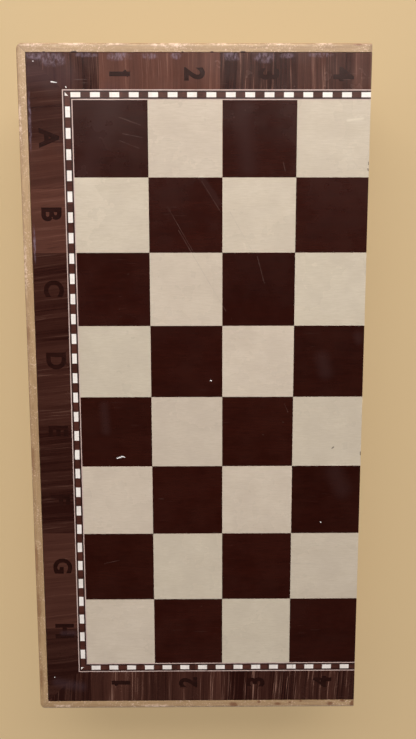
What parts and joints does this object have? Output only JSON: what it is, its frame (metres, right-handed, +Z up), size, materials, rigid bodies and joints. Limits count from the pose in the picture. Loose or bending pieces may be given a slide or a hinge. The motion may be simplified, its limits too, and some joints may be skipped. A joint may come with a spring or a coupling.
{
  "type": "folding chess board",
  "caption": "Folding wooden chess board that closes into a flat box, with inlaid squares, banded border, brass butt hinges and swing hooks.",
  "frame": {"origin": "middle of the underside of the closed box, on the play face of ranks 5 to 8", "axes": "+X across the box to the hinged edge, +Y along it to the A end, +Z up out of the upper play face"},
  "size_m": [0.2033, 0.398, 0.0483],
  "materials": {
    "rail_wood": "satin lacquer over pale solid wood",
    "plywood": "bare plywood",
    "light_veneer": "gloss lacquer over cream veneer",
    "dark_veneer": "gloss lacquer over near-black brown veneer",
    "border_veneer": "gloss lacquer over dark red-brown veneer",
    "light_stringing": "gloss lacquer over white stringing",
    "dark_stringing": "gloss lacquer over black-brown stringing",
    "dark_blocks": "gloss lacquer over mid-brown blocks",
    "brass": "polished, slightly dulled brass"
  },
  "bodies": {
    "lower_tray": {"lower_outer_rail": "rail_wood", "lower_hinge_rail": "rail_wood", "lower_a_end_rail": "rail_wood", "lower_h_end_rail": "rail_wood", "lower_panel": "plywood", "lower_light_squares": "light_veneer", "lower_dark_squares": "dark_veneer", "lower_border_outer": "border_veneer", "lower_border_a_end": "border_veneer", "lower_border_h_end": "border_veneer", "lower_banding_light_lines": "light_stringing", "lower_banding_light_blocks": "light_stringing", "lower_banding_dark_lines": "dark_stringing", "lower_banding_dark_blocks": "dark_blocks", "hinge_a_lower_leaf": "brass", "hinge_h_lower_leaf": "brass", "hinge_a_pin": "brass", "hinge_h_pin": "brass", "hook_pivot_screws": "brass"},
    "upper_tray": {"upper_outer_rail": "rail_wood", "upper_hinge_rail": "rail_wood", "upper_a_end_rail": "rail_wood", "upper_h_end_rail": "rail_wood", "upper_panel": "plywood", "upper_light_squares": "light_veneer", "upper_dark_squares": "dark_veneer", "upper_border_outer": "border_veneer", "upper_border_a_end": "border_veneer", "upper_border_h_end": "border_veneer", "upper_banding_light_lines": "light_stringing", "upper_banding_light_blocks": "light_stringing", "upper_banding_dark_lines": "dark_stringing", "upper_banding_dark_blocks": "dark_blocks", "hinge_a_upper_leaf": "brass", "hinge_h_upper_leaf": "brass", "catch_pins": "brass"},
    "a_end_hook": {"hook_a": "brass"},
    "h_end_hook": {"hook_h": "brass"}
  },
  "joints": [
    {"name": "fold", "type": "hinge", "parent": "lower_tray", "child": "upper_tray", "pos_m": [0.09922, 0, 0.02415], "axis": [0, 1, 0], "range_deg": [0, 180]},
    {"name": "a_end_hook_swing", "type": "hinge", "parent": "lower_tray", "child": "a_end_hook", "pos_m": [-0.09912, 0.10574, 0.01815], "axis": [-1, 0, 0], "range_deg": [-90, 180]},
    {"name": "h_end_hook_swing", "type": "hinge", "parent": "lower_tray", "child": "h_end_hook", "pos_m": [-0.09912, -0.10574, 0.01815], "axis": [-1, 0, 0], "range_deg": [-90, 180]}
  ]
}
